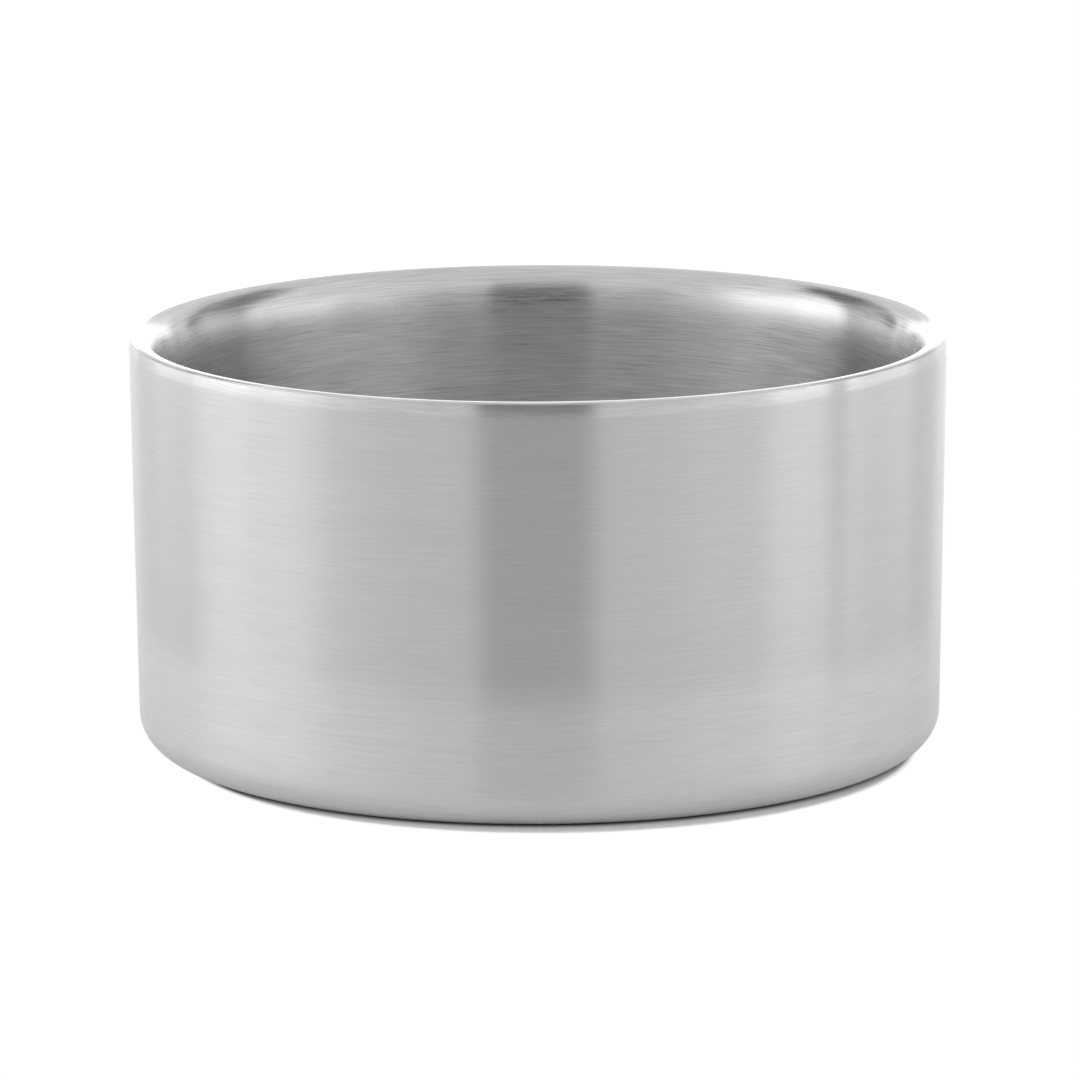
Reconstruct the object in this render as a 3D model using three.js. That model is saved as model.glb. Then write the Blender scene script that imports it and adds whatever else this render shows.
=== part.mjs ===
// A double-walled bowl of brushed stainless steel, straight-sided, with a broad rim that rolls inwards.
// Two drawn bowls hang one inside the other with still air between them. They meet only at the rim,
// where the inner bowl's lip stands on the outer bowl's top edge, with a weld between the two.
// Lengths are millimetres, +Z is up, and the origin is the middle of the base, on the table.

import * as THREE from "three";

// Overall size
const bowlDiameter = 200; // at the widest, just below the rim
const bowlHeight = 102;
const sheet = 0.4; // both bowls are drawn from the same steel
const draftAngle = 0.8; // degrees that both walls open upwards

// Outer bowl
const baseCornerRadius = 8.5; // where the wall turns under, outside
const shoulderDrop = 4.4; // the widest ring lies this far below the crest
const shoulderRadius = 24; // the wall's slow turn inwards above it
const standWidth = 14; // flat ring that the bowl stands on
const panelRise = 1.2; // the middle of the base is pressed up, so the bowl can't rock
const panelSlope = 4; // width of the pressed step around it

// Inner bowl
const crestInset = 0.8; // the highest ring lies this far inside the rim's edge
const rollWidth = 7.2; // from the crest to the inner wall
const rollDepth = 13; // from the crest down to where the inner wall begins
const innerCornerRadius = 18; // where the inner wall turns into the floor, inside
const airGap = 7; // still air between the two floors

// Weld between the two bowls
const weldHeight = 0.15;
const weldInset = 0.06; // the ground seam is a fine groove

// Steps of the round shapes
const aroundSteps = 80;
const cornerSteps = 6;
const rollSteps = 8;
const lipSteps = 3;
const shoulderSteps = 3;
const panelSteps = 4;

const steel = { color: 0xc9c9c9, roughness: 0.3, metalness: 1 };
const groundSeam = { color: 0x8f8f8f, roughness: 0.45, metalness: 1 };

// Angles, heights and radii that the sizes above give
const draft = THREE.MathUtils.degToRad(draftAngle);
const outerRadius = bowlDiameter / 2;
const lipHeight = bowlHeight - sheet;
const edgeHeight = lipHeight - weldHeight;
const shoulderHeight = bowlHeight - shoulderDrop;
const edgeTurn = Math.asin((edgeHeight - shoulderHeight) / shoulderRadius);
const edgeRadius = outerRadius - shoulderRadius * (1 - Math.cos(edgeTurn));
const crestRadius = edgeRadius - crestInset;
const innerFloorHeight = panelRise + sheet + airGap + sheet;

// Points of an arc in the plane of radius and height. An angle of 0 points outwards, and a quarter turn up.
function arc(centreRadius, centreHeight, halfWidth, halfHeight, from, to, steps) {
  const points = [];
  for (let i = 0; i <= steps; i += 1) {
    const angle = THREE.MathUtils.lerp(from, to, i / steps);
    const radius = centreRadius + halfWidth * Math.cos(angle);
    points.push(new THREE.Vector2(radius, centreHeight + halfHeight * Math.sin(angle)));
  }
  return points;
}

// The same line moved sideways by a distance, to its left, with its corners kept sharp.
function movedLeft(points, distance) {
  return points.map((point, i) => {
    const before = points[Math.max(i - 1, 0)];
    const after = points[Math.min(i + 1, points.length - 1)];
    const here = i === 0 ? after.clone().sub(point) : point.clone().sub(before);
    const next = i === points.length - 1 ? here.clone() : after.clone().sub(point);
    const mitre = here.normalize().clone().add(next.normalize());
    const stretch = 2 / mitre.lengthSq();
    return new THREE.Vector2(-mitre.y, mitre.x).multiplyScalar(distance * stretch).add(point);
  });
}

// A piece turned about the bowl's axis. Its outline runs outwards underneath and comes back on top.
function turned(name, outline, finish) {
  const geometry = new THREE.LatheGeometry(outline, aroundSteps).rotateX(Math.PI / 2);
  const mesh = new THREE.Mesh(geometry, new THREE.MeshStandardMaterial(finish));
  mesh.name = name;
  return mesh;
}

// Outside of the outer bowl, from the middle of the base out and up to the ground top edge.
function outerBowlOutside() {
  const wallFootRadius = outerRadius - Math.tan(draft) * (shoulderHeight - baseCornerRadius);
  const cornerCentre = wallFootRadius - baseCornerRadius / Math.cos(draft);
  const panelEdge = cornerCentre - standWidth - panelSlope;
  const points = [new THREE.Vector2(0, panelRise)];
  for (let i = 0; i <= panelSteps; i += 1) {
    const down = (1 - Math.cos((Math.PI * i) / panelSteps)) / 2;
    points.push(new THREE.Vector2(panelEdge + (panelSlope * i) / panelSteps, panelRise * (1 - down)));
  }
  const corner = arc(cornerCentre, baseCornerRadius, baseCornerRadius, baseCornerRadius,
    -Math.PI / 2, -draft, cornerSteps);
  const shoulder = arc(outerRadius - shoulderRadius, shoulderHeight, shoulderRadius, shoulderRadius,
    0, edgeTurn, shoulderSteps);
  return [...points, ...corner, ...shoulder];
}

function outerBowl() {
  const outside = outerBowlOutside();
  const inside = movedLeft(outside, sheet);
  inside[inside.length - 1].set(edgeRadius - sheet, edgeHeight); // the top edge is ground level
  return turned("outer_bowl", [...outside, ...inside.reverse()], steel);
}

// Inside of the inner bowl, from the middle of its floor out and up to the crest of the rim.
function innerBowlInside() {
  const rollFootHeight = bowlHeight - rollDepth;
  const rollFoot = Math.PI - Math.atan((rollDepth / rollWidth) * Math.tan(draft));
  const roll = arc(crestRadius, rollFootHeight, rollWidth, rollDepth, rollFoot, Math.PI / 2, rollSteps);
  const cornerCentreHeight = innerFloorHeight + innerCornerRadius;
  const wallRadius = roll[0].x - Math.tan(draft) * (roll[0].y - cornerCentreHeight);
  const cornerCentre = wallRadius - innerCornerRadius / Math.cos(draft);
  const corner = arc(cornerCentre, cornerCentreHeight, innerCornerRadius, innerCornerRadius,
    -Math.PI / 2, -draft, cornerSteps);
  return [new THREE.Vector2(0, innerFloorHeight), ...corner, ...roll];
}

function innerBowl() {
  const inside = innerBowlInside();
  const outside = movedLeft(inside, -sheet);
  outside[outside.length - 1].set(crestRadius, lipHeight);
  const lip = arc(crestRadius, lipHeight, crestInset, sheet, 0, Math.PI / 2, lipSteps);
  return turned("inner_bowl", [...outside, ...lip.slice(0, -1), ...inside.reverse()], steel);
}

// The weld fills the thin space between the lip and the outer bowl's top edge, all round.
function rimWeld() {
  const inner = edgeRadius - sheet;
  const outer = edgeRadius - weldInset;
  const corners = [[inner, edgeHeight], [outer, edgeHeight], [outer, lipHeight], [inner, lipHeight]];
  const outline = [...corners, corners[0]].map(([radius, height]) => new THREE.Vector2(radius, height));
  return turned("rim_weld", outline, groundSeam);
}

const bowl = new THREE.Group();
bowl.add(outerBowl(), innerBowl(), rimWeld());

export default bowl;
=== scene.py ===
import math

import bpy
from mathutils import Matrix, Vector


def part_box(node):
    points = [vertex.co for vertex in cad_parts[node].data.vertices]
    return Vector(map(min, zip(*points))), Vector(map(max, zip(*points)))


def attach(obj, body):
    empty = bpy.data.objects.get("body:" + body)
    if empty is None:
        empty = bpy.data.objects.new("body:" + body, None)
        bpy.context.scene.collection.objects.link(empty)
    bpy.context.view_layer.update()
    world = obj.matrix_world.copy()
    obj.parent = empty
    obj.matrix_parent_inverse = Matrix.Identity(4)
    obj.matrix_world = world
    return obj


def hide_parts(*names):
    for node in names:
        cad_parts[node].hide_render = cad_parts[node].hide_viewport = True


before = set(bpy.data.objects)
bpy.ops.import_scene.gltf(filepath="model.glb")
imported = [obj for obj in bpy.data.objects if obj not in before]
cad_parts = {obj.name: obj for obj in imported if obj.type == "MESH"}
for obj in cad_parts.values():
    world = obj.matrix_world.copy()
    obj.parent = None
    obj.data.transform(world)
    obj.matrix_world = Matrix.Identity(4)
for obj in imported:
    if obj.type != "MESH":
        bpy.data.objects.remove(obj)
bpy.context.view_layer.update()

# The outer bowl is one cup of stainless steel, drawn from sheet with a rounded foot corner and a flat stand
# ring. Its wall was brushed round and round while the cup turned. Its level top edge carries the inner
# bowl's lip.
MM = 0.001
around = 256  # facets round every turned piece
sheet = 0.4 * MM
draft = math.radians(0.8)  # both walls open upwards by this much
foot_corner = 8.5 * MM
stand_width = 14 * MM
panel_rise = 1.2 * MM
panel_slope = 4 * MM
shoulder_drop = 4.4 * MM
shoulder_radius = 24 * MM
hub_radius = 10 * MM  # the disc that each turned piece starts from
merge_distance = sheet / 400
smooth_below = math.radians(30)
flat_steps = 6
panel_steps = 8
stand_steps = 4
foot_steps = 16
wall_steps = 18
shoulder_steps = 10

outer_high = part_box("outer_bowl")[1]
crest_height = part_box("inner_bowl")[1].z
outer_radius = outer_high.x
edge_height = outer_high.z
shoulder_height = crest_height - shoulder_drop
edge_turn = math.asin((edge_height - shoulder_height) / shoulder_radius)
edge_radius = outer_radius - shoulder_radius * (1 - math.cos(edge_turn))


def arc(centre, half_width, half_height, start, end, steps):
    """Points of an arc in the plane of radius and height. An angle of 0 points outwards."""
    points = []
    for step in range(steps + 1):
        turn = start + (end - start) * step / steps
        points.append((centre[0] + half_width * math.cos(turn), centre[1] + half_height * math.sin(turn)))
    return points


def straight(start, end, steps):
    """Points between two points of an outline, both left out."""
    return [tuple(Vector(start).lerp(Vector(end), step / steps)) for step in range(1, steps)]


def offset(outline, distance):
    """The same outline moved sideways to its left, by the sheet's thickness."""
    points = [Vector(point) for point in outline]
    moved = []
    for before, here, after in zip([points[0]] + points[:-1], points, points[1:] + [points[-1]]):
        arriving = here - before if before != here else after - here
        leaving = after - here if after != here else here - before
        mitre = arriving.normalized() + leaving.normalized()
        sideways = Vector((-mitre.y, mitre.x)) * (2 * distance / mitre.length_squared)
        moved.append(tuple(here + sideways))
    return moved


def drawn_to(ring, point):
    """Draws the open ring of a piece out to the next radius and height, as a press does."""
    rise = (0, 0, point[1] - ring[1])
    bpy.ops.mesh.extrude_region_move(TRANSFORM_OT_translate={"value": rise})
    share = point[0] / ring[0]
    bpy.ops.transform.resize(value=(share, share, 1), center_override=(0, 0, 0))
    return point


def turned(name, outline, closes_at_axis=True):
    """A closed piece turned about the bowl's axis. A disc or a ring is drawn out along the outline."""
    bpy.ops.object.select_all(action="DESELECT")
    radius, height = outline[0]
    fill = "TRIFAN" if closes_at_axis else "NOTHING"
    bpy.ops.mesh.primitive_circle_add(vertices=around, radius=radius, fill_type=fill, location=(0, 0, height))
    piece = bpy.context.object
    piece.name = name
    bpy.ops.object.transform_apply(location=True)
    bpy.ops.object.mode_set(mode="EDIT")
    bpy.ops.mesh.select_mode(type="EDGE")
    bpy.ops.mesh.select_all(action="SELECT")
    if closes_at_axis:
        bpy.ops.mesh.region_to_loop()
    ring = outline[0]
    for point in outline[1:]:
        ring = drawn_to(ring, point)
    if closes_at_axis:
        bpy.ops.mesh.merge(type="CENTER")
    bpy.ops.mesh.select_all(action="SELECT")
    bpy.ops.mesh.remove_doubles(threshold=merge_distance)
    bpy.ops.mesh.normals_make_consistent(inside=False)
    bpy.ops.object.mode_set(mode="OBJECT")
    bpy.ops.object.shade_smooth_by_angle(angle=smooth_below)
    return piece


def outer_outline():
    """Outside of the outer bowl, from near the middle of the base to the top edge."""
    wall_foot = outer_radius - math.tan(draft) * (shoulder_height - foot_corner)
    corner_centre = wall_foot - foot_corner / math.cos(draft)
    panel_edge = corner_centre - stand_width - panel_slope
    hub = (hub_radius, panel_rise)
    panel = [hub] + straight(hub, (panel_edge, panel_rise), flat_steps)
    for step in range(panel_steps + 1):
        down = (1 - math.cos(math.pi * step / panel_steps)) / 2
        panel.append((panel_edge + panel_slope * step / panel_steps, panel_rise * (1 - down)))
    corner = arc((corner_centre, foot_corner), foot_corner, foot_corner, -math.pi / 2, -draft, foot_steps)
    shoulder = arc((outer_radius - shoulder_radius, shoulder_height), shoulder_radius, shoulder_radius,
                   0, edge_turn, shoulder_steps)
    stand = straight(panel[-1], corner[0], stand_steps)
    wall = straight(corner[-1], shoulder[0], wall_steps)
    return panel + stand + corner + wall + shoulder


outside = outer_outline()
inside = offset(outside, sheet)
inside[-1] = (edge_radius - sheet, edge_height)
outer_bowl = turned("outer_shell", outside + inside[::-1])


class Wire:
    """A socket of a material, so that a sum on sockets is written as a Python expression."""

    def __init__(self, tree, socket=None):
        self.tree = tree
        self.socket = socket

    def add(self, kind, settings=None, sockets=None, out=0):
        """Adds a node: its settings first, then the values or the wires of its sockets."""
        node = self.tree.nodes.new(kind)
        for setting, value in (settings or {}).items():
            setattr(node, setting, value)
        for socket, value in (sockets or {}).items():
            if isinstance(value, Wire):
                self.tree.links.new(value.socket, node.inputs[socket])
            else:
                node.inputs[socket].default_value = value
        return Wire(self.tree, node.outputs[out] if node.outputs else None)

    def sum(self, operation, *values):
        return self.add("ShaderNodeMath", {"operation": operation}, dict(enumerate(values)))

    def __add__(self, other):
        return self.sum("ADD", self, other)

    def __sub__(self, other):
        return self.sum("SUBTRACT", self, other)

    def __rsub__(self, other):
        return self.sum("SUBTRACT", other, self)

    def __mul__(self, other):
        return self.sum("MULTIPLY", self, other)

    __radd__ = __add__
    __rmul__ = __mul__


def new_material(name):
    """An empty material, and the wire that its nodes are added by."""
    material = bpy.data.materials.new(name)
    material.use_nodes = True
    material.node_tree.nodes.clear()
    return material, Wire(material.node_tree)


def parts(vector):
    """The x, y and z of a vector."""
    split = vector.add("ShaderNodeSeparateXYZ", sockets={0: vector})
    return [Wire(vector.tree, out) for out in split.socket.node.outputs]


def ramp(value, start, end):
    """0 before the start and 1 past the end, with a soft step between."""
    return value.add("ShaderNodeMapRange", {"interpolation_type": "SMOOTHSTEP"},
                     {"Value": value, "From Min": start, "From Max": end})


def even_grey(shade):
    """A neutral colour of a varying shade."""
    return shade.add("ShaderNodeCombineColor", sockets={0: shade, 1: shade, 2: shade})


drift_length = 18 * MM
stroke_roughness = 0.6  # how strong the finer part of the noise is


def strokes(wire, length, thickness, detail, seed, sway=0.0):
    """Noise from 0 to 1 in fine strokes that run round the bowl, on walls and floors alike.

    They sway up and down by a length as they go round, so that two sets of them cross.
    """
    place = wire.add("ShaderNodeTexCoord", out="Object")
    x, y, z = parts(place)
    across = wire.sum("SQRT", x * x + y * y) + z
    if sway:
        drift = wire.add("ShaderNodeTexNoise", {"noise_dimensions": "4D"},
                         {"Vector": place, "W": seed, "Scale": 1 / drift_length, "Detail": 0.0})
        across = (drift - 0.5) * (2 * sway) + across
    stretched = wire.add("ShaderNodeCombineXYZ", sockets={
        0: x * (1 / length), 1: y * (1 / length), 2: across * (1 / thickness)})
    return wire.add("ShaderNodeTexNoise", {"noise_dimensions": "4D"}, {
        "Vector": stretched, "W": seed, "Scale": 1.0, "Detail": detail, "Roughness": stroke_roughness})


wander_length = 22 * MM
wander_detail = 1.0
wander_seed = 20.0


def above(wire, start, end, wander):
    """0 below a height and 1 above it. Its edge wanders a little, as a hand-held wheel does."""
    z = parts(wire.add("ShaderNodeTexCoord", out="Object"))[2]
    uneven = strokes(wire, wander_length, wander_length, wander_detail, wander_seed) - 0.5
    return ramp(z + uneven * (2 * wander), start, end)


long_stroke = 14 * MM
long_stroke_width = 0.36 * MM
short_stroke = 9 * MM
short_stroke_width = 0.3 * MM
stroke_sway = 0.25 * MM
stroke_detail = 1.5
stroke_bump = 0.5
stroke_depth = 0.004 * MM
quarter_turn = 0.25  # sets the long way of the gloss across the strokes
cloud_length = 60 * MM
cloud_width = 6 * MM
cloud_detail = 2.0
cloud_share = 0.25  # of the contrast of the strokes
mark_length = 7 * MM
mark_width = 0.6 * MM
mark_detail = 1.0
mark_sway = 1.2 * MM


def brushed_steel(name, grey, roughness, finer, contrast, seed, dull_with_painted_bounce=None, scratched=None):
    """Brushed stainless steel: the strokes vary its grey, its gloss and its height a little.

    Each of the finer finishes is a roughness above a height: (roughness, start, end, wander).
    A dull finish shares the surface below a height: (share, grey, roughness, start, end, wander). Its own
    grey is painted light where it is paler than the wall's, for light bounced up from the table.
    A scratched finish has coarse marks that cross each other above a height: (contrast, start, end, wander).
    """
    material, wire = new_material(name)
    one_way = strokes(wire, long_stroke, long_stroke_width, stroke_detail, seed, stroke_sway)
    other_way = strokes(wire, short_stroke, short_stroke_width, stroke_detail, seed + 1, stroke_sway)
    fine = (one_way + other_way) * 0.5
    clouds = strokes(wire, cloud_length, cloud_width, cloud_detail, seed + 3)
    mix = (fine - 0.5) * contrast + (clouds - 0.5) * (contrast * cloud_share)
    if scratched:
        depth, start, end, wander = scratched
        marks = strokes(wire, mark_length, mark_width, mark_detail, seed + 5, mark_sway)
        mix = (marks - 0.5) * above(wire, start, end, wander) * depth + mix
    gloss = roughness
    before = roughness
    for finish, start, end, wander in finer:
        gloss = above(wire, start, end, wander) * (finish - before) + gloss
        before = finish
    gloss = gloss * (1 + (fine - 0.5) * contrast)
    bump = wire.add("ShaderNodeBump", sockets={
        "Strength": stroke_bump, "Distance": stroke_depth, "Height": fine})
    surface = wire.add("ShaderNodeBsdfPrincipled", sockets={
        "Base Color": even_grey(grey * (mix + 1)), "Metallic": 1.0, "Roughness": gloss,
        "Anisotropic": 1.0, "Anisotropic Rotation": quarter_turn, "Normal": bump})
    if dull_with_painted_bounce:
        share, painted_bounce_grey, dull_roughness, start, end, wander = dull_with_painted_bounce
        # Painted light: the dull finish's own grey, paler than the wall's, stands for light bounced up from
        # below.
        dull_and_painted_bounce = wire.add("ShaderNodeBsdfPrincipled", sockets={
            "Base Color": even_grey(painted_bounce_grey * (mix + 1)), "Metallic": 1.0, "Roughness": dull_roughness,
            "Normal": bump})
        covered = (1 - above(wire, start, end, wander)) * share
        surface = wire.add("ShaderNodeMixShader", sockets={0: covered, 1: surface, 2: dull_and_painted_bounce})
    wire.add("ShaderNodeOutputMaterial", sockets={"Surface": surface})
    return material


# The top of the wall was ground level with the seam, which left it smoother, with a few coarse marks. The
# lowest third is less glossy than the rest, and its paler grey is painted light, for light bounced up from
# the white table.
wall_grey = 0.72
wall_roughness = 0.33
wall_contrast = 0.33
wall_seed = 1.0
ground_roughness = 0.25
ground_from = shoulder_height + 0.6 * MM
ground_to = ground_from + 0.8 * MM
ground_wander = 1.2 * MM
ground_marks = 0.25
dull_share = 0.5
# Painted light: the dull lower third's paler grey stands for light bounced up from the white table.
painted_bounce_grey = 0.85
dull_roughness = 0.55
dull_from = 25 * MM
dull_to = 38.5 * MM
dull_wander = 1.5 * MM
outer_bowl.data.materials.append(brushed_steel(
    "steel_brushed_outside", wall_grey, wall_roughness,
    [(ground_roughness, ground_from, ground_to, ground_wander)], wall_contrast, wall_seed,
    dull_with_painted_bounce=(dull_share, painted_bounce_grey, dull_roughness, dull_from, dull_to, dull_wander),
    scratched=(ground_marks, ground_from, ground_to, ground_wander)))
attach(outer_bowl, "root")
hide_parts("outer_bowl")

# The inner bowl is the second drawn cup, with a rounded inner corner. Its rim is rolled over outwards in a
# broad convex curve, and ends in a thin lip that stands on the outer bowl's edge. It is brushed round like
# the outside, finer towards the crest, and the crest itself is ground nearly level and bright.
roll_width = 7.2 * MM
roll_depth = 13 * MM
crest_inset = 0.8 * MM
crest_width = 0.6 * MM  # the level part
inner_corner = 18 * MM
floor_steps = 12
corner_steps = 20
roll_steps = 36
lip_steps = 6
inside_grey = 0.7
inside_roughness = 0.33
inside_contrast = 1.1
inside_seed = 5.0
roll_roughness = 0.2
roll_finer_from = crest_height - 12 * MM
roll_finer_to = crest_height - 3 * MM
crest_roughness = 0.1
crest_from = crest_height - 0.3 * MM
crest_to = crest_height - 0.1 * MM

lip_height = crest_height - sheet
crest_radius = edge_radius - crest_inset
floor_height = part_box("inner_bowl")[0].z + sheet


def inner_outline():
    """Inside of the inner bowl, from near the middle of its floor to the crest of the rim."""
    curve_width = roll_width - crest_width
    roll_foot = math.pi - math.atan(roll_depth / curve_width * math.tan(draft))
    roll_centre = (crest_radius - crest_width, crest_height - roll_depth)
    roll = arc(roll_centre, curve_width, roll_depth, roll_foot, math.pi / 2, roll_steps)
    corner_height = floor_height + inner_corner
    wall_foot = roll[0][0] - math.tan(draft) * (roll[0][1] - corner_height)
    corner_centre = (wall_foot - inner_corner / math.cos(draft), corner_height)
    corner = arc(corner_centre, inner_corner, inner_corner, -math.pi / 2, -draft, corner_steps)
    hub = (hub_radius, floor_height)
    floor = [hub] + straight(hub, corner[0], floor_steps)
    wall = straight(corner[-1], roll[0], wall_steps)
    return floor + corner + wall + roll + [(crest_radius, crest_height)]


inside = inner_outline()
outside = offset(inside, -sheet)
outside[-1] = (crest_radius, lip_height)
lip = arc((crest_radius, lip_height), crest_inset, sheet, math.pi / 2, 0, lip_steps)
inner_bowl = turned("inner_shell", inside + lip[1:] + outside[::-1])
inner_bowl.data.materials.append(brushed_steel(
    "steel_brushed_inside", inside_grey, inside_roughness,
    [(roll_roughness, roll_finer_from, roll_finer_to, 0), (crest_roughness, crest_from, crest_to, 0)],
    inside_contrast, inside_seed))
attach(inner_bowl, "root")
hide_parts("inner_bowl")

# The rim weld closes the joint between the lip and the outer bowl's edge all round. It was ground back after
# welding, a little below the wall's surface. Its grey is as bright as the wall towards the front, where the
# camera stands, and darker and uneven round the sides, where it shows as a fine dark line.
weld_low, weld_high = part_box("rim_weld")
weld_inner = edge_radius - sheet
weld_bright = 0.7
weld_darker = 0.25
weld_uneven = 1.2
weld_spot = 5 * MM
weld_detail = 2.0
weld_seed = 9.0
weld_roughness = 0.4
bright_within = math.radians(20)  # bearings from the front
dark_beyond = math.radians(50)
weld_outline = [(weld_inner, weld_low.z), (weld_high.x, weld_low.z), (weld_high.x, weld_high.z),
                (weld_inner, weld_high.z), (weld_inner, weld_low.z)]
rim_weld = turned("weld_bead", weld_outline, closes_at_axis=False)
ground_weld, wire = new_material("steel_ground_weld")
x, y = parts(wire.add("ShaderNodeTexCoord", out="Object"))[:2]
bearing = wire.sum("ABSOLUTE", wire.sum("ARCTAN2", x, 0 - y))
darker_away_from_front = ramp(bearing, bright_within, dark_beyond)
uneven = strokes(wire, weld_spot, weld_spot, weld_detail, weld_seed) - 0.5
shade = weld_bright - darker_away_from_front * (weld_darker - uneven * weld_uneven)
surface = wire.add("ShaderNodeBsdfPrincipled", sockets={
    "Base Color": even_grey(shade), "Metallic": 1.0, "Roughness": weld_roughness})
wire.add("ShaderNodeOutputMaterial", sockets={"Surface": surface})
rim_weld.data.materials.append(ground_weld)
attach(rim_weld, "root")
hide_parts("rim_weld")

# The bowl stands on a plain white table. Its shadow is kept within a circle set a little forwards of the
# axis, and past that circle the camera sees the table as white as the background. In the crease at the foot
# the table's grey is darkened as painted shade.
table_radius = 750 * MM
table_sides = 96
table_height = -0.02 * MM  # just clear of the stand ring
table_white = 0.97
# Painted shade: the table's grey in the crease at the foot.
painted_crease_grey = 0.2
painted_crease_from = 90.5 * MM
painted_crease_to = 95.5 * MM
shadow_middle = (2 * MM, -10 * MM, 0)
shadow_from = 88.5 * MM
shadow_to = 91 * MM
bpy.ops.object.select_all(action="DESELECT")
bpy.ops.mesh.primitive_circle_add(
    vertices=table_sides, radius=table_radius, fill_type="NGON", location=(0, 0, table_height))
table = bpy.context.object
table.name = "white_table"
white, wire = new_material("white_table")
place = wire.add("ShaderNodeTexCoord", out="Object")
from_middle = wire.add("ShaderNodeVectorMath", {"operation": "DISTANCE"},
                       {0: place, 1: shadow_middle}, out="Value")
fade = ramp(from_middle, shadow_from, shadow_to)
from_axis = wire.add("ShaderNodeVectorMath", {"operation": "LENGTH"}, {0: place}, out="Value")
# Painted shade: the table's grey darkens in the crease at the foot.
table_grey_painted_crease = ramp(from_axis, painted_crease_from, painted_crease_to) * (table_white - painted_crease_grey) + painted_crease_grey
is_camera = wire.add("ShaderNodeLightPath", out="Is Camera Ray")
matt = wire.add("ShaderNodeBsdfDiffuse", sockets={"Color": even_grey(table_grey_painted_crease)})
plain = wire.add("ShaderNodeEmission", sockets={"Color": (1, 1, 1, 1), "Strength": 1.0})
surface = wire.add("ShaderNodeMixShader", sockets={0: fade * is_camera, 1: matt, 2: plain})
wire.add("ShaderNodeOutputMaterial", sockets={"Surface": surface})
table.data.materials.append(white)

# A plain white studio lights the bowl softly from all round: a tall soft light on the left and one on the
# right, the white background behind, and a darker gap in front where the camera stands.
studio_white = 0.85
world = bpy.data.worlds.new("white_studio")
bpy.context.scene.world = world
world.use_nodes = True
world.node_tree.nodes.clear()
wire = Wire(world.node_tree)
x, y, z = parts(wire.add("ShaderNodeTexCoord", out="Generated"))
ahead = wire.sum("DEGREES", wire.sum("ARCTAN2", x, 0 - y))
behind = wire.sum("DEGREES", wire.sum("ARCTAN2", 0 - x, y))
height = wire.sum("DEGREES", wire.sum("ARCSINE", z))


def panel(bearing, bearings, heights, softness):
    """1 within a panel of the studio, seen from the bowl, and 0 outside it, in degrees."""
    mask = 1
    for angle, (low, high), soft in [(bearing, bearings, softness[0]), (height, heights, softness[1])]:
        mask = ramp(angle, low - soft, low + soft) * mask
        mask = ramp(angle, high + soft, high - soft) * mask
    return mask


# Each panel adds to the white or takes from it. Bearings count from straight ahead of the bowl, where the
# camera stands, or from straight behind it, and grow to the camera's right. The softness of the edges is
# given sideways and upwards.
studio = studio_white
for change, bearing, bearings, heights, softness in [
        (0.67, ahead, (-142, -65), (-4, 32), (11, 6)),
        (0.23, ahead, (-134, -89), (-26, 24), (3, 5)),
        (0.53, ahead, (67, 129), (-9, 20), (6, 5)),
        (-0.62, ahead, (104, 137), (7, 48), (2, 2.5)),
        (0.57, behind, (-31, 30), (-5, 14), (2, 2.5)),
        (0.8, behind, (-17, 15), (-7, 5), (3, 2)),
        (-1.15, ahead, (-142, -112), (6, 46), (1.5, 3)),
        (-0.6, ahead, (-47, 42), (12.5, 28), (11, 3)),
        (-1.2, ahead, (-16.4, 15.2), (-2, 32), (2.7, 17)),
        (-0.97, ahead, (88, 94.5), (-14, 4), (2, 8)),
        (-0.13, ahead, (-300, 300), (51, 90), (5, 22)),
        ]:
    studio = panel(bearing, bearings, heights, softness) * change + studio
is_camera = wire.add("ShaderNodeLightPath", out="Is Camera Ray")
strength = is_camera + (1 - is_camera) * wire.sum("MAXIMUM", studio, 0)
background = wire.add("ShaderNodeBackground", sockets={"Color": (1, 1, 1, 1), "Strength": strength})
wire.add("ShaderNodeOutputWorld", sockets={"Surface": background})

# The camera stands in front, a little above the rim, with a long lens.
aim = Vector((0.306, 0, 49.4)) * MM
distance = 1685 * MM
elevation = math.radians(11.55)
tilt = math.radians(-0.245)
film_width = 36
focal_length = 228.07
camera_data = bpy.data.cameras.new("camera")
camera_data.lens = focal_length
camera_data.sensor_width = film_width
camera = bpy.data.objects.new("camera", camera_data)
bpy.context.scene.collection.objects.link(camera)
back = Vector((0, -math.cos(elevation), math.sin(elevation)))
camera.matrix_world = (Matrix.Translation(aim + distance * back)
                       @ Matrix.Rotation(math.pi / 2 - elevation, 4, "X") @ Matrix.Rotation(tilt, 4, "Z"))
bpy.context.scene.camera = camera
bpy.context.scene.view_settings.view_transform = "Standard"
